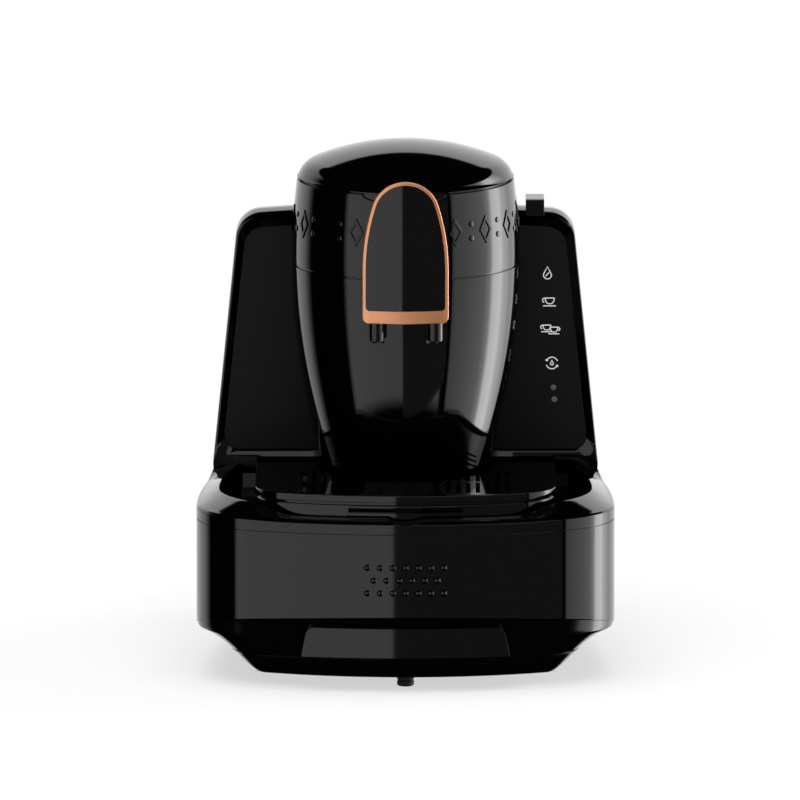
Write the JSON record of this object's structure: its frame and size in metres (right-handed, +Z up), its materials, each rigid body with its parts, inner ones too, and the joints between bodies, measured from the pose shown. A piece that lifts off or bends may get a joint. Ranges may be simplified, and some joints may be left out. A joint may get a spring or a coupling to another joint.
{
  "type": "electric turkish coffee maker",
  "caption": "Counter-top brewer with a barrel head over a drip tray, tilting pot inside, arched nose with spouts, winged tower with touch panel and rear water tank.",
  "frame": {"origin": "bottom centre of the machine's box, where the feet stand", "axes": "+Z up, the tallest way; front towards -Y; +X to the right as seen from the front, the narrowest way"},
  "size_m": [0.22, 0.264, 0.277],
  "materials": {
    "gloss_black": "high gloss moulded",
    "satin_black": "satin moulded",
    "matt_black": "fine textured",
    "rubber_black": "matt",
    "copper_gloss": "satin copper coating",
    "light_guide": "clear moulded",
    "circuit_board": "solder mask",
    "smoked_tank": "smoked clear plastic",
    "steel": "zinc plated",
    "pot_steel": "brushed stainless",
    "pump_plastic": "moulded",
    "white_plastic": "moulded"
  },
  "bodies": {
    "base": {"base_housing": "gloss_black", "bottom_tub": "satin_black", "front_foot": "rubber_black", "side_feet": "rubber_black", "base_screws": "steel", "deck": "gloss_black", "column_shell": "gloss_black", "head_ring": "gloss_black", "hinge_pin": "steel", "tower": "gloss_black", "left_panel": "gloss_black", "control_panel": "gloss_black", "light_guides": "light_guide", "touch_board": "circuit_board", "tank_socket": "matt_black", "socket_seal": "rubber_black", "left_bracket": "steel", "right_bracket": "steel", "bracket_screws": "steel", "chassis_plate": "matt_black", "tilt_motor": "steel", "pump": "pump_plastic", "pump_mount": "rubber_black", "inlet_hose": "white_plastic", "outlet_hose": "white_plastic", "water_nozzle": "white_plastic", "power_board": "circuit_board", "switch_frame": "matt_black", "cord_gland": "rubber_black"},
    "lid": {"lid": "gloss_black", "lid_liner": "matt_black", "lid_seal": "rubber_black"},
    "nose": {"nose_body": "gloss_black", "nose_trim": "copper_gloss", "nose_plate": "gloss_black", "left_spout": "gloss_black", "right_spout": "gloss_black", "pour_chute": "satin_black"},
    "pot": {"brew_pot": "pot_steel", "pot_cradle": "matt_black", "heater_plate": "steel", "sector_gear": "matt_black"},
    "pinion": {"pinion": "white_plastic", "motor_shaft": "steel"},
    "tank": {"water_tank": "smoked_tank", "tank_hinge_pin": "steel", "tank_hinge_ears": "smoked_tank", "valve_spring": "steel", "valve_cap": "white_plastic"},
    "tank_lid": {"tank_lid": "gloss_black"},
    "valve": {"valve_plunger": "white_plastic"},
    "tray": {"drip_tray": "gloss_black"},
    "grille": {"cup_grille": "gloss_black"},
    "rocker": {"mains_rocker": "satin_black"}
  },
  "joints": [
    {"name": "lid_hinge", "type": "hinge", "parent": "base", "child": "lid", "pos_m": [0, 0.0425, 0.2576], "axis": [-1, 0, 0], "range_deg": [0, 72]},
    {"name": "nose_pull", "type": "slide", "parent": "base", "child": "nose", "axis": [0, -1, 0], "range_m": [0, 0.06]},
    {"name": "pot_tilt", "type": "hinge", "parent": "base", "child": "pot", "pos_m": [0, -0.018, 0.231], "axis": [1, 0, 0], "range_deg": [0, 90]},
    {"name": "pinion_spin", "type": "hinge", "parent": "base", "child": "pinion", "pos_m": [-0.0372, -0.018, 0.189], "axis": [1, 0, 0], "range_deg": [-541, 1]},
    {"name": "tank_lift", "type": "slide", "parent": "base", "child": "tank", "axis": [0, 0, 1], "range_m": [0, 0.15]},
    {"name": "tank_lid_hinge", "type": "hinge", "parent": "tank", "child": "tank_lid", "pos_m": [0, 0.1227, 0.2172], "axis": [-1, 0, 0], "range_deg": [0, 95]},
    {"name": "valve_lift", "type": "slide", "parent": "tank", "child": "valve", "axis": [0, 0, 1], "range_m": [0, 0.002], "stiffness_N_per_m": 100},
    {"name": "tray_pull", "type": "slide", "parent": "base", "child": "tray", "axis": [0, -0.9135, 0.4067], "range_m": [0, 0.06]},
    {"name": "grille_lift", "type": "slide", "parent": "tray", "child": "grille", "axis": [0, -0.9135, 0.4067], "range_m": [0, 0.02]},
    {"name": "mains_rock", "type": "hinge", "parent": "base", "child": "rocker", "pos_m": [0.036, 0.1267, 0.048], "axis": [1, 0, 0], "range_deg": [0, 16]}
  ],
  "couplings": [
    {"joint": "pinion_spin", "follows": "pot_tilt", "ratio": -6}
  ]
}
